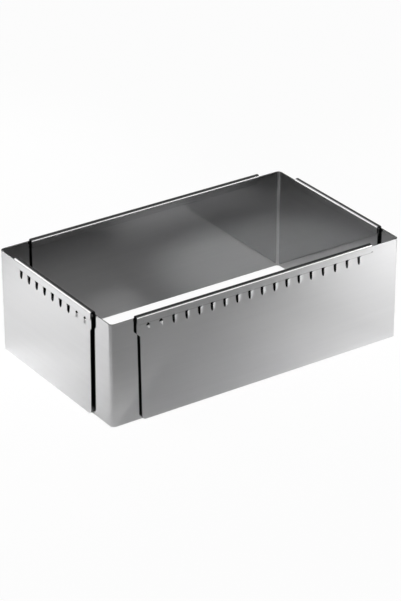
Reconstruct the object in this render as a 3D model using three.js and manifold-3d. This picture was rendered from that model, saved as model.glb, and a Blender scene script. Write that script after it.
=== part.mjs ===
// Adjustable cake frame: four folded steel corners that slide in one another under four rails.
// Millimetres, +Z up. The near left corner is at -X, -Y; the frame stands on Z = 0.
import * as THREE from 'three';
import { mergeGeometries, mergeVertices } from 'three/addons/utils/BufferGeometryUtils.js';
import Module from 'manifold-3d';

const wasm = await Module();
wasm.setup();

// Driving sizes of the closed frame
const closedLength = 233;
const closedWidth = 138.6;
const wallHeight = 75;
const sheet = 0.7;
const bendRadius = 3;

// Room between the outer and the inner wing of a side
const wingGap = 1.2;
const slideClearance = 0.2;

// Bare stretch of each side, measured from the frame's corner to the free edge of a wing
const outerBareLong = 20.4;
const outerBareShort = 22.5;
const innerBareLong = 23.6;
const innerBareShort = 20.3;
const railBareLong = 23.4;
const railBareShort = 20.2;

// Tab at the top of an outer wing's free edge, which slants back towards its foot
const tabHeight = 10.7;
const tabLeadLong = 2.6;
const tabLeadShort = 1.5;
const edgeSlant = 0.8;
const freeCornerRadius = 3;

// Click slots, lanced from the outer wings at a constant pitch
const pitch = 10;
const firstSlotLong = 33.9;
const firstSlotShort = 28.5;
const slotTop = 4.3;
const slotHeight = 6.7;
const slotWidth = 1.4;
const slotFootLean = 0.5;
const tongueLength = 3.6;
const tongueTopCut = 0.3;
const tongueRootDrop = 0.2;
const tongueLift = 1.1;
const rootRoundShare = 0.35;
const sideTaperShare = 0.12;
const tongueLengthSteps = 4;
const tongueWidthSteps = 8;
const endMargin = 6;

// Two scoops close each row of slots
const scoopCount = 2;
const scoopWidth = 3.8;
const scoopLift = 1.2;
const scoopMouth = 2.2;
const scoopPeak = 0.5;
const scoopLipShare = 0.3;
const scoopLengthSteps = 6;
const scoopWidthSteps = 4;

// Click nub of an inner wing
const nubRadius = 1.6;
const nubLift = 0.9;
const nubShoulder = { radiusShare: 0.8, liftShare: 0.75 };
const nubCap = { radiusShare: 0.45, liftShare: 1 };

// Channel rail over the top edges
const railSheet = 0.6;
const railLeg = 4.2;
const railRise = 1.75;
const railEndRadius = 1.5;

// Fineness of curved stretches, and the overrun of every cut
const bendSteps = 10;
const arcSteps = 6;
const overrun = 1;

const innerFace = sheet + wingGap;
const longWing = closedLength - outerBareLong;
const shortWing = closedWidth - outerBareShort;
const slotMiddle = wallHeight - slotTop - slotHeight / 2;

const steel = { color: 0xb9bbbd, metalness: 1, roughness: 0.34 };

// Turns a three.js geometry into a solid for the boolean cuts.
function toSolid(geometry) {
  const bare = geometry.clone();
  bare.deleteAttribute('normal');
  bare.deleteAttribute('uv');
  const merged = mergeVertices(bare);
  const vertProperties = new Float32Array(merged.attributes.position.array);
  const triVerts = new Uint32Array(merged.index.array);
  return new wasm.Manifold(new wasm.Mesh({ numProp: 3, vertProperties, triVerts }));
}

// Turns a solid back into a geometry.
function toGeometry(solid) {
  const mesh = solid.getMesh();
  const geometry = new THREE.BufferGeometry();
  geometry.setAttribute('position', new THREE.BufferAttribute(new Float32Array(mesh.vertProperties), 3));
  geometry.setIndex(new THREE.BufferAttribute(new Uint32Array(mesh.triVerts), 1));
  return geometry;
}

function extrude(shape, depth) {
  return new THREE.ExtrudeGeometry(shape, { depth, bevelEnabled: false, curveSegments: bendSteps });
}

// A wing's own frame: x runs from the frame's corner to the free edge, y is up, z points out of the frame.
// These are the directions of x and z for both wings of each kind of corner.
const outerWings = {
  long: { along: new THREE.Vector3(-1, 0, 0), out: new THREE.Vector3(0, -1, 0) },
  short: { along: new THREE.Vector3(0, 1, 0), out: new THREE.Vector3(1, 0, 0) },
};
const innerWings = {
  long: { along: new THREE.Vector3(1, 0, 0), out: new THREE.Vector3(0, -1, 0) },
  short: { along: new THREE.Vector3(0, 1, 0), out: new THREE.Vector3(-1, 0, 0) },
};

// Places a geometry that is drawn in a wing's frame.
function placeWing(geometry, { along, out }) {
  const matrix = new THREE.Matrix4().makeBasis(along, new THREE.Vector3(0, 0, 1), out);
  const placed = geometry.clone().applyMatrix4(matrix);
  return matrix.determinant() < 0 ? flip(placed) : placed;
}

// Turns every triangle round, after a mirroring.
function flip(geometry) {
  const count = geometry.attributes.position.count;
  const index = geometry.index ? Array.from(geometry.index.array) : [...Array(count).keys()];
  for (let i = 0; i < index.length; i += 3) {
    [index[i + 1], index[i + 2]] = [index[i + 2], index[i + 1]];
  }
  geometry.setIndex(index);
  return geometry;
}

// A list of loose triangles, later merged into one closed mesh.
class Soup {
  constructor() {
    this.positions = [];
  }

  triangle(a, b, c) {
    this.positions.push(...a, ...b, ...c);
  }

  quad(a, b, c, d) {
    this.triangle(a, b, c);
    this.triangle(a, c, d);
  }

  // A flat face at height z over the wing's plane, facing outwards for side 1 and inwards for side -1.
  face(contour, holes, z, side) {
    const points = [contour, ...holes].flat();
    for (const [i, j, k] of THREE.ShapeUtils.triangulateShape(contour, holes)) {
      const area = points[j].clone().sub(points[i]).cross(points[k].clone().sub(points[i]));
      const order = area * side > 0 ? [i, j, k] : [i, k, j];
      this.triangle(...order.map((n) => [points[n].x, points[n].y, z]));
    }
  }

  // The cut edges of the sheet along a path that has the sheet on its left.
  wall(path) {
    for (let i = 0; i + 1 < path.length; i += 1) {
      const p = path[i];
      const q = path[i + 1];
      this.quad([p.x, p.y, -sheet], [q.x, q.y, -sheet], [q.x, q.y, 0], [p.x, p.y, 0]);
    }
  }

  // A tongue of the sheet, pushed outwards by lift(u, v): u runs from 0 at its open edge to 1 at its root,
  // and v from -1 to 1 across it. A tongue that is open at its side is cut free along v = 1 too.
  tongue({ lengthSteps, widthSteps, place, lift, openSide }) {
    const at = (i, j, depth) => {
      const u = i / lengthSteps;
      const v = (2 * j) / widthSteps - 1;
      const [x, y] = place(u, v);
      return [x, y, lift(u, v) - depth];
    };
    for (let i = 0; i < lengthSteps; i += 1) {
      for (let j = 0; j < widthSteps; j += 1) {
        this.quad(at(i, j, 0), at(i, j + 1, 0), at(i + 1, j + 1, 0), at(i + 1, j, 0));
        this.quad(at(i, j, sheet), at(i + 1, j, sheet), at(i + 1, j + 1, sheet), at(i, j + 1, sheet));
      }
    }
    for (let j = 0; j < widthSteps; j += 1) {
      this.quad(at(0, j, sheet), at(0, j + 1, sheet), at(0, j + 1, 0), at(0, j, 0));
    }
    for (let i = 0; openSide && i < lengthSteps; i += 1) {
      const side = widthSteps;
      this.quad(at(i, side, sheet), at(i + 1, side, sheet), at(i + 1, side, 0), at(i, side, 0));
    }
  }

  geometry() {
    const loose = new THREE.BufferGeometry();
    loose.setAttribute('position', new THREE.Float32BufferAttribute(this.positions, 3));
    return mergeVertices(loose);
  }
}

// The outline of the hole that a tongue and the cut before it fill: the cut, then round the tongue's root.
function tongueHole({ cut, lengthSteps, widthSteps, place, openSide }) {
  const hole = [...cut];
  for (let i = 1; i <= lengthSteps; i += 1) {
    hole.push(new THREE.Vector2(...place(i / lengthSteps, -1)));
  }
  for (let j = 1; j < widthSteps; j += 1) {
    hole.push(new THREE.Vector2(...place(1, (2 * j) / widthSteps - 1)));
  }
  for (let i = lengthSteps; !openSide && i > 0; i -= 1) {
    hole.push(new THREE.Vector2(...place(i / lengthSteps, 1)));
  }
  return hole;
}

// A click slot at `at` along the wing: a cut with a half louvre behind it, open to the free edge and at its
// top. Its root runs down its far side and round its foot.
function clickSlot(at) {
  const top = slotMiddle + slotHeight / 2;
  const foot = slotMiddle - slotHeight / 2;
  const cut = new THREE.Shape();
  cut.moveTo(at - tongueLength, top - tongueRootDrop);
  cut.lineTo(at + slotWidth, top);
  cut.quadraticCurveTo(at + slotWidth, foot, at - slotFootLean, foot);
  return {
    cut: cut.getPoints(arcSteps + 2),
    lengthSteps: tongueLengthSteps,
    widthSteps: tongueWidthSteps,
    openSide: true,
    place: (u, v) => {
      const down = (1 - v) / 2;
      const start = top - tongueTopCut * (1 - u) - tongueRootDrop * u;
      return [
        at - slotFootLean * down * down - u * tongueLength * (1 - rootRoundShare * down * down),
        start - down * (start - foot) * (1 - sideTaperShare * u * u),
      ];
    },
    lift: (u, v) => tongueLift * (1 - u) ** 2 * (1 - ((1 - v) / 2) ** 4),
  };
}

// How far down a scoop its bump rises to the peak, and falls from it to the root.
function scoopRise(u) {
  const toPeak = scoopLipShare + (1 - scoopLipShare) * (u / scoopPeak);
  const fromPeak = (1 - u) / (1 - scoopPeak);
  return Math.min(toPeak, fromPeak);
}

// A scoop at `at` along the wing: a ridged bump that peaks half way down, with a pointed window over it.
function endScoop(at) {
  const half = slotHeight / 2;
  const low = slotMiddle - half;
  const lip = slotMiddle + half - scoopMouth;
  const side = scoopWidth / 2;
  return {
    cut: [[at - side, lip], [at, lip + scoopMouth], [at + side, lip]].map((p) => new THREE.Vector2(...p)),
    lengthSteps: scoopLengthSteps,
    widthSteps: scoopWidthSteps,
    openSide: false,
    place: (u, v) => [
      at - v * side * (1 - rootRoundShare * u * u),
      lip + u * (low - lip) * (1 - sideTaperShare * v * v),
    ],
    lift: (u, v) => scoopLift * scoopRise(u) * (1 - Math.abs(v)),
  };
}

// The stamped features of an outer wing, click slots first and scoops at the free edge.
function stampedRow(firstSlot, wingLength) {
  const places = Math.floor((wingLength - firstSlot - endMargin) / pitch) + 1;
  const features = [];
  for (let k = 0; k < places; k += 1) {
    const at = firstSlot + k * pitch;
    features.push(k < places - scoopCount ? clickSlot(at) : endScoop(at));
  }
  return features;
}

// An outer wing's edges, from the bend along the bottom and the free edge to the bend at the top.
function outerWingPath(wingLength, tabLead) {
  const edge = wingLength - tabLead;
  const footStart = edge - edgeSlant - freeCornerRadius;
  const stepHeight = wallHeight - tabHeight;
  const path = new THREE.Shape();
  path.moveTo(bendRadius, 0);
  path.lineTo(footStart, 0);
  path.absarc(footStart, freeCornerRadius, freeCornerRadius, -Math.PI / 2, 0, false);
  path.lineTo(edge, stepHeight - tabLead);
  path.lineTo(wingLength, stepHeight);
  path.lineTo(wingLength, wallHeight);
  path.lineTo(bendRadius, wallHeight);
  return path.getPoints(arcSteps);
}

function outerWing(firstSlot, wingLength, tabLead) {
  const soup = new Soup();
  const path = outerWingPath(wingLength, tabLead);
  const features = stampedRow(firstSlot, wingLength);
  const holes = features.map(tongueHole);
  soup.face(path, holes, 0, 1);
  soup.face(path, holes, -sheet, -1);
  soup.wall(path);
  for (const feature of features) {
    soup.wall(feature.cut);
    soup.tongue(feature);
  }
  return soup.geometry();
}

// An inner wing, drawn with its outer face in the wing's plane, with a click nub at `nub`.
function innerWing(wingLength, nub) {
  const soup = new Soup();
  const near = innerFace + bendRadius;
  const corners = [[near, 0], [wingLength, 0], [wingLength, wallHeight], [near, wallHeight]];
  const path = corners.map((p) => new THREE.Vector2(...p));
  const ring = ({ radiusShare, liftShare }) => {
    const points = [];
    for (let i = 0; i < 2 * bendSteps; i += 1) {
      const turn = (-i * Math.PI) / bendSteps;
      const radius = nubRadius * radiusShare;
      points.push([nub + radius * Math.cos(turn), slotMiddle + radius * Math.sin(turn), liftShare * nubLift]);
    }
    return points;
  };
  const nubFoot = { radiusShare: 1, liftShare: 0 };
  const rings = [nubFoot, nubShoulder, nubCap].map(ring);
  const hole = rings[0].map(([x, y]) => new THREE.Vector2(x, y));
  soup.face(path, [hole], 0, 1);
  soup.face(path, [], -sheet, -1);
  soup.wall(path);
  for (let r = 0; r + 1 < rings.length; r += 1) {
    for (let i = 0; i < hole.length; i += 1) {
      const next = (i + 1) % hole.length;
      soup.quad(rings[r][i], rings[r + 1][i], rings[r + 1][next], rings[r][next]);
    }
  }
  const top = rings[rings.length - 1];
  for (let i = 0; i < top.length; i += 1) {
    soup.triangle([nub, slotMiddle, nubLift], top[(i + 1) % top.length], top[i]);
  }
  return soup.geometry().translate(0, 0, -innerFace);
}

// The quarter bend between a corner's wings. `corner` gives signs of X and Y from the corner into the
// frame, and `inset` is how far the sheet's outer faces lie inside the planes of the frame.
function bend([signX, signY], inset) {
  const soup = new Soup();
  const middle = inset + bendRadius;
  const at = (step, radius, z) => {
    const turn = (step / bendSteps) * (Math.PI / 2);
    return [signX * (middle - radius * Math.sin(turn)), signY * (middle - radius * Math.cos(turn)), z];
  };
  const bore = bendRadius - sheet;
  for (let i = 0; i < bendSteps; i += 1) {
    const outFoot = [at(i, bendRadius, 0), at(i + 1, bendRadius, 0)];
    const outTop = [at(i, bendRadius, wallHeight), at(i + 1, bendRadius, wallHeight)];
    const inFoot = [at(i, bore, 0), at(i + 1, bore, 0)];
    const inTop = [at(i, bore, wallHeight), at(i + 1, bore, wallHeight)];
    soup.quad(outFoot[0], outTop[0], outTop[1], outFoot[1]);
    soup.quad(inFoot[0], inFoot[1], inTop[1], inTop[0]);
    soup.quad(outFoot[0], outFoot[1], inFoot[1], inFoot[0]);
    soup.quad(outTop[0], inTop[0], inTop[1], outTop[1]);
  }
  const geometry = soup.geometry();
  return signX * signY < 0 ? flip(geometry) : geometry;
}

// Joins wings and bend, which share the points of their common edges, into one closed sheet.
function joined(pieces) {
  const geometry = mergeGeometries(pieces.map((piece) => piece.toNonIndexed()));
  return mergeVertices(geometry);
}

// An outer corner, with the frame's corner at the origin and its wings along -X and +Y.
function outerCorner() {
  return joined([
    placeWing(outerWing(firstSlotLong, longWing, tabLeadLong), outerWings.long),
    placeWing(outerWing(firstSlotShort, shortWing, tabLeadShort), outerWings.short),
    bend([-1, 1], 0),
  ]);
}

// An inner corner, with the frame's corner at the origin and its wings along +X and +Y.
function innerCorner() {
  const long = innerWing(closedLength - innerBareLong, closedLength - firstSlotLong);
  const short = innerWing(closedWidth - innerBareShort, closedWidth - firstSlotShort);
  return joined([
    placeWing(long, innerWings.long),
    placeWing(short, innerWings.short),
    bend([1, 1], innerFace),
  ]);
}

// A rail's section in the wing's frame, x out of the frame and y up: an inverted U with a round crown.
function railSection() {
  const outX = railSheet;
  const inX = -(innerFace + sheet + slideClearance + railSheet);
  const low = wallHeight - railLeg;
  const top = wallHeight + railRise;
  const round = railRise;
  const bore = round - railSheet;
  const section = new THREE.Shape();
  section.moveTo(outX, low);
  section.lineTo(outX, top - round);
  section.absarc(outX - round, top - round, round, 0, Math.PI / 2, false);
  section.lineTo(inX + round, top);
  section.absarc(inX + round, top - round, round, Math.PI / 2, Math.PI, false);
  section.lineTo(inX, low);
  section.lineTo(inX + railSheet, low);
  section.lineTo(inX + railSheet, top - round);
  section.absarc(inX + round, top - round, bore, Math.PI, Math.PI / 2, true);
  section.lineTo(outX - round, top - railSheet);
  section.absarc(outX - round, top - round, bore, Math.PI / 2, 0, true);
  section.lineTo(outX - railSheet, low);
  section.closePath();
  return section;
}

// A rail in the wing's frame, from `start` to `end` along the wing, its lower corners rounded.
function rail(start, end) {
  const body = extrude(railSection(), end - start);
  body.rotateY(Math.PI / 2);
  body.applyMatrix4(new THREE.Matrix4().makeScale(1, 1, -1));
  flip(body);
  body.translate(start, 0, 0);
  const low = wallHeight - railLeg;
  const high = wallHeight + railRise + overrun;
  const r = railEndRadius;
  const outline = new THREE.Shape();
  outline.moveTo(start + r, low);
  outline.lineTo(end - r, low);
  outline.absarc(end - r, low + r, r, -Math.PI / 2, 0, false);
  outline.lineTo(end, high);
  outline.lineTo(start, high);
  outline.lineTo(start, low + r);
  outline.absarc(start + r, low + r, r, Math.PI, Math.PI * 1.5, false);
  outline.closePath();
  const depth = innerFace + sheet + slideClearance + 2 * railSheet + 2 * overrun;
  const keep = extrude(outline, depth).translate(0, 0, railSheet + overrun - depth);
  return toGeometry(toSolid(body).intersect(toSolid(keep)));
}

function named(geometry, name) {
  const flat = geometry.toNonIndexed();
  flat.computeVertexNormals();
  const mesh = new THREE.Mesh(flat, new THREE.MeshStandardMaterial(steel));
  mesh.name = name;
  return mesh;
}

// Two of each piece: the second set is the first one turned half round about the frame's middle.
function halfFrame(names) {
  const half = new THREE.Group();
  const outer = new THREE.Group();
  outer.add(named(outerCorner(), names.outer));
  outer.add(named(placeWing(rail(railBareLong, longWing), outerWings.long), names.longRail));
  outer.add(named(placeWing(rail(railBareShort, shortWing), outerWings.short), names.shortRail));
  outer.position.set(closedLength / 2, -closedWidth / 2, 0);
  const inner = new THREE.Group();
  inner.add(named(innerCorner(), names.inner));
  inner.position.set(-closedLength / 2, -closedWidth / 2, 0);
  half.add(outer);
  half.add(inner);
  return half;
}

const cakeFrame = new THREE.Group();
const near = halfFrame({
  outer: 'outer_corner_right',
  inner: 'inner_corner_front',
  longRail: 'rail_front',
  shortRail: 'rail_right',
});
const far = halfFrame({
  outer: 'outer_corner_left',
  inner: 'inner_corner_back',
  longRail: 'rail_back',
  shortRail: 'rail_left',
});
far.rotation.z = Math.PI;
cakeFrame.add(near);
cakeFrame.add(far);

export default cakeFrame;
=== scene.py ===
import bpy
import math
from mathutils import Matrix, Vector


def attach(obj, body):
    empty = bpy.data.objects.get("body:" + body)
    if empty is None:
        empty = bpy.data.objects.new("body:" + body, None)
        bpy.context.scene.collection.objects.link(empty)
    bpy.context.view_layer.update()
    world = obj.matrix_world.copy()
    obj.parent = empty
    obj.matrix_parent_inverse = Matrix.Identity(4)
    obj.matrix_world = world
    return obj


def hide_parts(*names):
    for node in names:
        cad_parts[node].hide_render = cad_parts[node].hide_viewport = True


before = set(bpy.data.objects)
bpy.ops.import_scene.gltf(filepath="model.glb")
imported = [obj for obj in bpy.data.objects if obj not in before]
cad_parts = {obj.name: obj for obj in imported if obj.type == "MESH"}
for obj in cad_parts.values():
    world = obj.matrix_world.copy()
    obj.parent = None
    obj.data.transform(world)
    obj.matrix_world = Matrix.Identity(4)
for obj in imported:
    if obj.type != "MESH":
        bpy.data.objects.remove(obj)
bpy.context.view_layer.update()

MM = 0.001

# Camera: the photograph's place, aim and lens, in the frame's own axes
CAMERA_PLACE = (-0.8951, -1.3213, 0.8466)
CAMERA_YAW = math.radians(-34.124)
CAMERA_PITCH = math.radians(90.0 - 27.050)
CAMERA_ROLL = math.radians(-0.117)
CAMERA_LENS = 156.67
CAMERA_SENSOR = 36.0

# Which body each sheet and each rail slides with
SHEETS = {
    "outer_corner_right": "right_outer",
    "outer_corner_left": "left_outer",
    "inner_corner_front": "front_inner",
    "inner_corner_back": "back_inner",
}
RAILS = {
    "rail_front": "right_outer",
    "rail_right": "right_outer",
    "rail_back": "left_outer",
    "rail_left": "left_outer",
}

# The closed frame: half its length and width are to the outer wings' outer faces
WALL_HEIGHT = 75.0 * MM
HALF_LENGTH = 116.5 * MM
HALF_WIDTH = 69.3 * MM
CORNER_REACH = 3.5 * MM
RAIL_LIP_HEIGHT = 70.8 * MM
RAIL_HALF_LONG = 94.5 * MM
RAIL_HALF_SHORT = 48.0 * MM
LIP_PROUD = 0.1 * MM

# Welding and easing of the edges
WELD_REACH = 0.001 * MM
SAME_PLANE = math.radians(0.4)
SHEARED_EDGE_ROUND = 0.12 * MM
RAIL_EDGE_ROUND = 0.14 * MM
EASING_STEPS = 2
SHARP_FROM = math.radians(50)
SMOOTH_UP_TO = math.radians(32)

# How much of a face's direction points up, or out of its wall
LOOKS_UP = 0.9
LEANS_UP = 0.5
LOOKS_OUT = 0.3

# Material slots of a finished piece
WALL_FINISH = 0
CUT_FINISH = 1
TORN_LIP_HIGHLIGHT = 2

# The stretch of a noise's values that nearly all of it lies in
NOISE_LOW = 0.3
NOISE_HIGH = 0.7

# Rolling marks: fine lines and broad bands, with their share of the tone, and the bands' number per metre
LINE_TONE = 0.55
BAND_TONE = 0.45
LINE_DULLING = 0.015
BANDS_PER_METRE = (9.0, 9.0, 260.0)
BRUSHED_LEVEL = 0.25

# Wear, and a painted shade under the rails' lower lips
PATCH_SIZE = 42.0
RUB_REACH = 2.2
RUB_DULLING = 0.08
RUB_PATCHES_PER_METRE = 160.0
# Painted shade: width, overlap and colour of the dark line painted on the walls just under the rails'
# lower lips
LIP_SHADE_WIDTH = 1.0
LIP_SHADE_OVERLAP = 0.3 * MM
LIP_SHADE_COLOUR = (0.05, 0.048, 0.046)

# Floor: a matt board, and what the steel mirrors of it, paler far from the frame than close to it
FLOOR_SIDE = 8.0
FLOOR_DROP = 0.2 * MM
FLOOR_PALENESS = 0.86
FLOOR_WHITENESS = 0.97
NEAR_GLOW = 0.012
FAR_GLOW = 0.45
NEAR_REACH = 0.3
FAR_REACH = 0.7

# The room's light on the floor, and what the steel mirrors of the room between horizon and ceiling
ROOM_FILL = 0.02
HORIZON_GLOW = 0.55
CEILING_GLOW = 0.12
CEILING_SINE = 0.4
BACK_GLOW = 0.75
BACK_FROM = 0.5
BACK_TO = 0.72
NO_BOUNCE = 0.5

# Lamps: the wide ones are aimed just above the floor in the middle of the frame
FRAME_MIDDLE = (0.0, 0.0, 0.02)
SPOT_RADIUS = 0.06


def deselect_everything():
    if bpy.context.object and bpy.context.object.mode != "OBJECT":
        bpy.ops.object.mode_set(mode="OBJECT")
    bpy.ops.object.select_all(action="DESELECT")


def take_up(piece):
    deselect_everything()
    piece.select_set(True)
    bpy.context.view_layer.objects.active = piece


def value_node(tree, operation, first, second, clamp=False):
    node = tree.nodes.new("ShaderNodeMath")
    node.operation = operation
    node.use_clamp = clamp
    for socket, given in zip(node.inputs, (first, second)):
        if isinstance(given, (int, float)):
            socket.default_value = given
        else:
            tree.links.new(given, socket)
    return node.outputs["Value"]


def size_of(tree, given):
    return value_node(tree, "ABSOLUTE", given, 0.0)


def product(tree, first, second):
    return value_node(tree, "MULTIPLY", first, second)


def larger(tree, first, second):
    return value_node(tree, "MAXIMUM", first, second)


def spread(tree, given, low, high, from_low=NOISE_LOW, from_high=NOISE_HIGH):
    """A value between from_low and from_high, brought to between low and high."""
    node = tree.nodes.new("ShaderNodeMapRange")
    tree.links.new(given, node.inputs["Value"])
    node.inputs["From Min"].default_value = from_low
    node.inputs["From Max"].default_value = from_high
    node.inputs["To Min"].default_value = low
    node.inputs["To Max"].default_value = high
    return node.outputs["Result"]


def object_place(tree):
    return tree.nodes.new("ShaderNodeTexCoord").outputs["Object"]


def separate(tree, place):
    parts = tree.nodes.new("ShaderNodeSeparateXYZ")
    tree.links.new(place, parts.inputs["Vector"])
    return parts.outputs


def stretched(tree, place, by):
    """A place multiplied axis by axis, by three numbers or by another output."""
    node = tree.nodes.new("ShaderNodeVectorMath")
    node.operation = "MULTIPLY"
    tree.links.new(place, node.inputs[0])
    if isinstance(by, tuple):
        node.inputs[1].default_value = by
    else:
        tree.links.new(by, node.inputs[1])
    return node.outputs["Vector"]


def noise(tree, place, scale=1.0, detail=2.0, roughness=0.5):
    node = tree.nodes.new("ShaderNodeTexNoise")
    tree.links.new(place, node.inputs["Vector"])
    node.inputs["Scale"].default_value = scale
    node.inputs["Detail"].default_value = detail
    node.inputs["Roughness"].default_value = roughness
    return node


def colour_between(tree, share, first, second):
    """Two colours mixed by a share, where the first is a colour or another output."""
    node = tree.nodes.new("ShaderNodeMix")
    node.data_type = "RGBA"
    tree.links.new(share, node.inputs["Factor"])
    if isinstance(first, tuple):
        node.inputs["A"].default_value = (*first, 1.0)
    else:
        tree.links.new(first, node.inputs["A"])
    node.inputs["B"].default_value = (*second, 1.0)
    return node.outputs["Result"]


def new_group(name, inputs, outputs):
    group = bpy.data.node_groups.new(name, "ShaderNodeTree")
    for label, start in inputs.items():
        socket = group.interface.new_socket(name=label, in_out="INPUT", socket_type="NodeSocketFloat")
        socket.default_value = start
    for label in outputs:
        group.interface.new_socket(name=label, in_out="OUTPUT", socket_type="NodeSocketFloat")
    taken = group.nodes.new("NodeGroupInput")
    given = group.nodes.new("NodeGroupOutput")
    return group, taken, given


def make_rolling_grain():
    """Fine lines left by rolling and brushing, level all round the walls."""
    group, taken, given = new_group(
        "rolling_grain", {"Lines per mm": 6.0, "Line length in mm": 40.0}, ("Lines", "Bands"))
    place = object_place(group)
    across = product(group, taken.outputs["Lines per mm"], 1.0 / MM)
    along = value_node(group, "DIVIDE", 1.0 / MM, taken.outputs["Line length in mm"])
    fineness = group.nodes.new("ShaderNodeCombineXYZ")
    group.links.new(along, fineness.inputs["X"])
    group.links.new(along, fineness.inputs["Y"])
    group.links.new(across, fineness.inputs["Z"])
    drawn = stretched(group, place, fineness.outputs["Vector"])
    lines = noise(group, drawn, detail=3.0, roughness=0.6)
    group.links.new(lines.outputs["Fac"], given.inputs["Lines"])
    bands = noise(group, stretched(group, place, BANDS_PER_METRE))
    group.links.new(bands.outputs["Fac"], given.inputs["Bands"])
    return group


def make_handling_marks():
    """Soft patches where hands and cloths have dulled the polish."""
    group, taken, given = new_group("handling_marks", {"Patch size in mm": 45.0}, ("Patches",))
    per_metre = value_node(group, "DIVIDE", 1.0 / MM, taken.outputs["Patch size in mm"])
    patches = noise(group, object_place(group), roughness=0.45)
    group.links.new(per_metre, patches.inputs["Scale"])
    group.links.new(patches.outputs["Fac"], given.inputs["Patches"])
    return group


def make_edge_rub():
    """Where trays, palettes and knives rub the bottom and the top of the walls."""
    group, taken, given = new_group("edge_rub", {"Reach in mm": 2.5}, ("Rub",))
    place = object_place(group)
    reach = product(group, taken.outputs["Reach in mm"], MM)
    from_middle = value_node(group, "SUBTRACT", separate(group, place)["Z"], WALL_HEIGHT / 2)
    to_edge = value_node(group, "SUBTRACT", WALL_HEIGHT / 2, size_of(group, from_middle))
    share = value_node(group, "DIVIDE", to_edge, reach)
    rub = value_node(group, "SUBTRACT", 1.0, share, clamp=True)
    wander = noise(group, place, scale=RUB_PATCHES_PER_METRE)
    broken = spread(group, wander.outputs["Fac"], 0.3, 1.0, 0.35, 0.65)
    group.links.new(product(group, rub, broken), given.inputs["Rub"])
    return group


def make_painted_lip_shade():
    """Painted shade: a dark line painted on a wall just under a rail's lower lip, where the lip's shadow
    would fall.
    """
    group, taken, given = new_group("painted_lip_shade", {"Width in mm": 0.8}, ("Seam",))
    axes = separate(group, object_place(group))
    width = product(group, taken.outputs["Width in mm"], MM)
    below = value_node(group, "SUBTRACT", RAIL_LIP_HEIGHT, axes["Z"])
    share = value_node(group, "DIVIDE", below, width)
    fading = value_node(group, "SUBTRACT", 1.0, share, clamp=True)
    under = value_node(group, "GREATER_THAN", below, -LIP_SHADE_OVERLAP)
    long_side = value_node(group, "LESS_THAN", size_of(group, axes["X"]), RAIL_HALF_LONG)
    short_side = value_node(group, "LESS_THAN", size_of(group, axes["Y"]), RAIL_HALF_SHORT)
    railed = larger(group, long_side, short_side)
    line = product(group, product(group, fading, under), railed)
    group.links.new(line, given.inputs["Seam"])
    return group


ROLLING_GRAIN = make_rolling_grain()
HANDLING_MARKS = make_handling_marks()
EDGE_RUB = make_edge_rub()
PAINTED_LIP_SHADE = make_painted_lip_shade()


def place_group(tree, group, **values):
    node = tree.nodes.new("ShaderNodeGroup")
    node.node_tree = group
    for label, value in values.items():
        node.inputs[label.replace("_", " ")].default_value = value
    return node.outputs


def steel(name, dark, light, smooth, dull, line_height, across_grain, lines_per_mm, line_length, lip_shade_share=0.0):
    """Stainless steel with a rolled grain: two tones, two gloss levels, a fine relief."""
    material = bpy.data.materials.new(name)
    material.use_nodes = True
    tree = material.node_tree
    shader = tree.nodes["Principled BSDF"]
    shader.inputs["Metallic"].default_value = 1.0
    shader.inputs["Anisotropic"].default_value = across_grain
    shader.inputs["Anisotropic Rotation"].default_value = BRUSHED_LEVEL
    level = tree.nodes.new("ShaderNodeTangent")
    level.direction_type = "RADIAL"
    level.axis = "Z"
    tree.links.new(level.outputs["Tangent"], shader.inputs["Tangent"])

    grain = place_group(tree, ROLLING_GRAIN, Lines_per_mm=lines_per_mm, Line_length_in_mm=line_length)
    marks = place_group(tree, HANDLING_MARKS, Patch_size_in_mm=PATCH_SIZE)
    rub = place_group(tree, EDGE_RUB, Reach_in_mm=RUB_REACH)
    lip = place_group(tree, PAINTED_LIP_SHADE, Width_in_mm=LIP_SHADE_WIDTH)

    fine = spread(tree, grain["Lines"], 0.0, LINE_TONE)
    broad = spread(tree, grain["Bands"], 0.0, BAND_TONE)
    tone = value_node(tree, "ADD", fine, broad, clamp=True)
    clean = colour_between(tree, tone, dark, light)
    # painted shade: the wall colour darkened to a near-black line just under a rail's lower lip
    with_lip_shade = colour_between(tree, product(tree, lip["Seam"], lip_shade_share), clean, LIP_SHADE_COLOUR)
    tree.links.new(with_lip_shade, shader.inputs["Base Color"])

    dulled = spread(tree, marks["Patches"], smooth, dull)
    lined = spread(tree, grain["Lines"], -LINE_DULLING, LINE_DULLING)
    rough = value_node(tree, "ADD", dulled, lined)
    rubbed = product(tree, rub["Rub"], RUB_DULLING)
    tree.links.new(value_node(tree, "ADD", rough, rubbed, clamp=True), shader.inputs["Roughness"])

    relief = tree.nodes.new("ShaderNodeBump")
    relief.inputs["Strength"].default_value = 1.0
    relief.inputs["Distance"].default_value = line_height
    tree.links.new(grain["Lines"], relief.inputs["Height"])
    tree.links.new(relief.outputs["Normal"], shader.inputs["Normal"])
    return material


sheet_steel = steel(
    "satin_sheet_steel", dark=(0.665, 0.665, 0.67), light=(0.705, 0.705, 0.71), smooth=0.055, dull=0.10,
    line_height=0.0004 * MM, across_grain=0.25, lines_per_mm=5.0, line_length=45.0, lip_shade_share=0.6)
rail_steel = steel(
    "bright_rail_steel", dark=(0.665, 0.665, 0.67), light=(0.715, 0.715, 0.72), smooth=0.12, dull=0.17,
    line_height=0.0004 * MM, across_grain=0.45, lines_per_mm=6.0, line_length=60.0)
# Cut edges of sheets and rails: a rough cut face whose near-black tone is painted shade for the dark gaps
# between the wings and the dark edge lines
sheared_edge_painted_shade_steel = steel(
    "sheared_edge_painted_shade_steel", dark=(0.05, 0.05, 0.051), light=(0.09, 0.09, 0.091), smooth=0.36, dull=0.48,
    line_height=0.002 * MM, across_grain=0.0, lines_per_mm=9.0, line_length=1.2)
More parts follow.
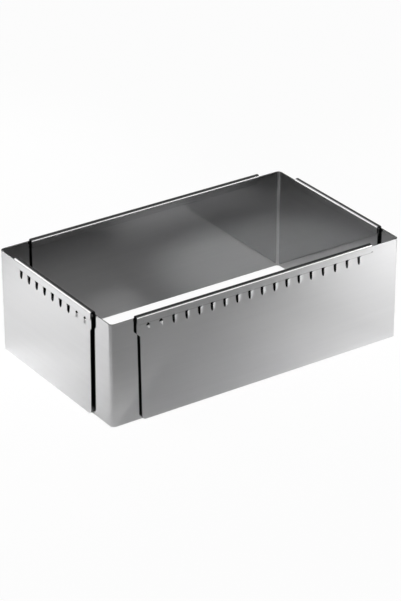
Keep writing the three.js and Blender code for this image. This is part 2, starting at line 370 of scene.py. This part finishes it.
# Upper lips of the stamped tongues and scoops: pale grey beyond the steel's own tone, a painted highlight
# where the lips catch the light
torn_lip_painted_highlight_steel = steel(
    "torn_lip_painted_highlight_steel", dark=(0.8, 0.8, 0.8), light=(0.88, 0.88, 0.88), smooth=0.38, dull=0.5,
    line_height=0.001 * MM, across_grain=0.0, lines_per_mm=9.0, line_length=1.2)


def welded_copy(node, name):
    """A copy of a node's mesh with its loose triangles joined into one skin."""
    piece = bpy.data.objects.new(name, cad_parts[node].data.copy())
    bpy.context.collection.objects.link(piece)
    piece.data.materials.clear()
    take_up(piece)
    bpy.ops.object.mode_set(mode="EDIT")
    bpy.ops.mesh.select_all(action="SELECT")
    bpy.ops.mesh.remove_doubles(threshold=WELD_REACH)
    bpy.ops.mesh.dissolve_limited(angle_limit=SAME_PLANE, delimit={"NORMAL"})
    bpy.ops.object.mode_set(mode="OBJECT")
    return piece


def ease_edges(piece, width):
    """The burr is taken off every sharp edge, and the folds read as smooth."""
    take_up(piece)
    bevel = piece.modifiers.new("eased_edges", "BEVEL")
    bevel.width = width
    bevel.segments = EASING_STEPS
    bevel.limit_method = "ANGLE"
    bevel.angle_limit = SHARP_FROM
    bevel.use_clamp_overlap = True
    bpy.ops.object.modifier_apply(modifier=bevel.name)
    bpy.ops.object.shade_smooth_by_angle(angle=SMOOTH_UP_TO)
    flat_walls = piece.modifiers.new("flat_walls", "WEIGHTED_NORMAL")
    flat_walls.keep_sharp = True
    bpy.ops.object.modifier_apply(modifier=flat_walls.name)


def is_sheared(centre, normal):
    """A face is a cut edge of the sheet when it looks up, down or along its wall and not out of it."""
    if abs(normal.z) > LOOKS_UP:
        return True
    on_long_side = abs(centre.y) > HALF_WIDTH - CORNER_REACH
    on_short_side = abs(centre.x) > HALF_LENGTH - CORNER_REACH
    if on_long_side and not on_short_side:
        return abs(normal.y) < LOOKS_OUT
    if on_short_side and not on_long_side:
        return abs(normal.x) < LOOKS_OUT
    return False


def is_torn_lip(centre, normal):
    """The raw upper lips of the stamped tongues and scoops stand proud of the wall and lean up."""
    proud = abs(centre.y) > HALF_WIDTH + LIP_PROUD or abs(centre.x) > HALF_LENGTH + LIP_PROUD
    return proud and centre.z < RAIL_LIP_HEIGHT and normal.z > LEANS_UP


def finish_cut_edges(piece):
    for face in piece.data.polygons:
        face.material_index = CUT_FINISH if is_sheared(face.center, face.normal) else WALL_FINISH
        if is_torn_lip(face.center, face.normal):
            face.material_index = TORN_LIP_HIGHLIGHT


def dress(node, body, name, finishes, edge_round):
    """A node's own shape with eased edges, its walls and its cut edges in their finishes."""
    piece = welded_copy(node, name)
    for finish in finishes:
        piece.data.materials.append(finish)
    finish_cut_edges(piece)
    ease_edges(piece, edge_round)
    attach(piece, body)
    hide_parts(node)


def dress_sheets():
    finishes = (sheet_steel, sheared_edge_painted_shade_steel, torn_lip_painted_highlight_steel)
    for node, body in SHEETS.items():
        dress(node, body, node.replace("corner", "sheet"), finishes, SHEARED_EDGE_ROUND)


def dress_rails():
    finishes = (rail_steel, sheared_edge_painted_shade_steel)
    for node, body in RAILS.items():
        dress(node, body, node.replace("rail", "channel"), finishes, RAIL_EDGE_ROUND)


def seen_through_steel(tree, rays):
    """One for rays that the steel mirrors or that pass through a clear thing."""
    return larger(tree, rays.outputs["Is Glossy Ray"], rays.outputs["Is Transmission Ray"])


def lay_floor():
    deselect_everything()
    bpy.ops.mesh.primitive_plane_add(size=FLOOR_SIDE, location=(0.0, 0.0, -FLOOR_DROP))
    floor = bpy.context.object
    floor.name = "pale_floor"
    material = bpy.data.materials.new("pale_floor")
    material.use_nodes = True
    tree = material.node_tree
    tree.nodes.remove(tree.nodes["Principled BSDF"])
    matt = tree.nodes.new("ShaderNodeBsdfDiffuse")
    matt.inputs["Color"].default_value = (FLOOR_PALENESS, FLOOR_PALENESS, FLOOR_PALENESS, 1.0)
    white = tree.nodes.new("ShaderNodeEmission")
    white.inputs["Strength"].default_value = 1.0
    rays = tree.nodes.new("ShaderNodeLightPath")
    seen = product(tree, rays.outputs["Is Camera Ray"], FLOOR_WHITENESS)
    reach = tree.nodes.new("ShaderNodeVectorMath")
    reach.operation = "LENGTH"
    tree.links.new(object_place(tree), reach.inputs[0])
    glow = spread(tree, reach.outputs["Value"], NEAR_GLOW, FAR_GLOW, NEAR_REACH, FAR_REACH)
    mirrored = product(tree, seen_through_steel(tree, rays), glow)
    share = value_node(tree, "ADD", seen, mirrored, clamp=True)
    mix = tree.nodes.new("ShaderNodeMixShader")
    tree.links.new(share, mix.inputs["Fac"])
    tree.links.new(matt.outputs["BSDF"], mix.inputs[1])
    tree.links.new(white.outputs["Emission"], mix.inputs[2])
    tree.links.new(mix.outputs["Shader"], tree.nodes["Material Output"].inputs["Surface"])
    floor.data.materials.append(material)


def light_world():
    """The camera sees white; the steel sees a horizon that fades upward, and a pale wall at the back."""
    world = bpy.data.worlds.new("plain_studio")
    bpy.context.scene.world = world
    world.use_nodes = True
    tree = world.node_tree
    room = tree.nodes["Background"]
    room.inputs["Color"].default_value = (1.0, 1.0, 1.0, 1.0)
    rays = tree.nodes.new("ShaderNodeLightPath")
    unscattered = value_node(tree, "LESS_THAN", rays.outputs["Diffuse Depth"], NO_BOUNCE)
    direction = separate(tree, tree.nodes.new("ShaderNodeTexCoord").outputs["Generated"])
    upward = spread(tree, direction["Z"], HORIZON_GLOW, CEILING_GLOW, 0.0, CEILING_SINE)
    behind = spread(tree, direction["Y"], 0.0, BACK_GLOW, BACK_FROM, BACK_TO)
    glow = larger(tree, upward, behind)
    mirrored = product(tree, product(tree, seen_through_steel(tree, rays), unscattered), glow)
    unseen = larger(tree, mirrored, ROOM_FILL)
    tree.links.new(larger(tree, rays.outputs["Is Camera Ray"], unseen), room.inputs["Strength"])


def hang_lamp(kind, name, place, aim, power):
    deselect_everything()
    bpy.ops.object.light_add(type=kind, location=place)
    lamp = bpy.context.object
    lamp.name = name
    lamp.data.energy = power
    lamp.rotation_euler = (Vector(place) - Vector(aim)).to_track_quat("Z", "Y").to_euler()
    lamp.visible_camera = False
    return lamp


def soft_lamp(name, place, width, power):
    """A wide square lamp that draws the bright lines on the rails' crowns."""
    lamp = hang_lamp("AREA", name, place, FRAME_MIDDLE, power)
    lamp.data.shape = "SQUARE"
    lamp.data.size = width


def soft_spot(name, place, aim, pool, power):
    """A spot that lights a soft round pool of the floor where it is aimed."""
    lamp = hang_lamp("SPOT", name, place, aim, power)
    lamp.data.spot_size = 2 * math.atan(pool / math.dist(place, aim))
    lamp.data.spot_blend = 1.0
    lamp.data.shadow_soft_size = SPOT_RADIUS


def set_camera():
    deselect_everything()
    turn = (Matrix.Rotation(CAMERA_YAW, 4, "Z")
            @ Matrix.Rotation(CAMERA_PITCH, 4, "X")
            @ Matrix.Rotation(CAMERA_ROLL, 4, "Z"))
    bpy.ops.object.camera_add(location=CAMERA_PLACE, rotation=turn.to_euler())
    camera = bpy.context.object
    camera.data.sensor_width = CAMERA_SENSOR
    camera.data.lens = CAMERA_LENS
    bpy.context.scene.camera = camera


set_camera()
dress_sheets()
dress_rails()
lay_floor()
light_world()
soft_lamp("lamp_back_left", (-0.488, 0.697, 0.323), 0.45, 0.6)
soft_lamp("lamp_front_left", (-0.432, -0.432, 0.758), 0.5, 1.35)
soft_lamp("lamp_front_right", (0.476, -0.706, 0.323), 0.45, 0.85)
soft_spot("spot_left", (-0.7, 0.42, 0.3), (-0.2, 0.12, 0.0), 0.14, 44.0)
soft_spot("spot_right", (0.6, -0.5, 0.35), (0.22, -0.14, 0.0), 0.14, 41.0)
soft_spot("spot_front_left", (-0.1, -0.75, 0.35), (-0.07, -0.1, 0.0), 0.045, 12.0)
soft_spot("spot_front_middle", (0.0, -0.75, 0.35), (0.02, -0.1, 0.0), 0.045, 16.0)
soft_spot("spot_corner", (-0.5, -0.4, 0.4), (-0.19, -0.09, 0.0), 0.09, 7.1)
soft_spot("spot_back", (0.15, 0.95, 0.36), (0.04, 0.25, 0.0), 0.16, 34.0)
soft_spot("spot_back_right", (0.8, 0.4, 0.34), (0.24, 0.1, 0.0), 0.14, 14.0)
soft_spot("spot_inside", (0.09, 0.06, 0.9), (0.095, 0.055, 0.0), 0.03, 51.0)

bpy.context.scene.view_settings.view_transform = "Standard"
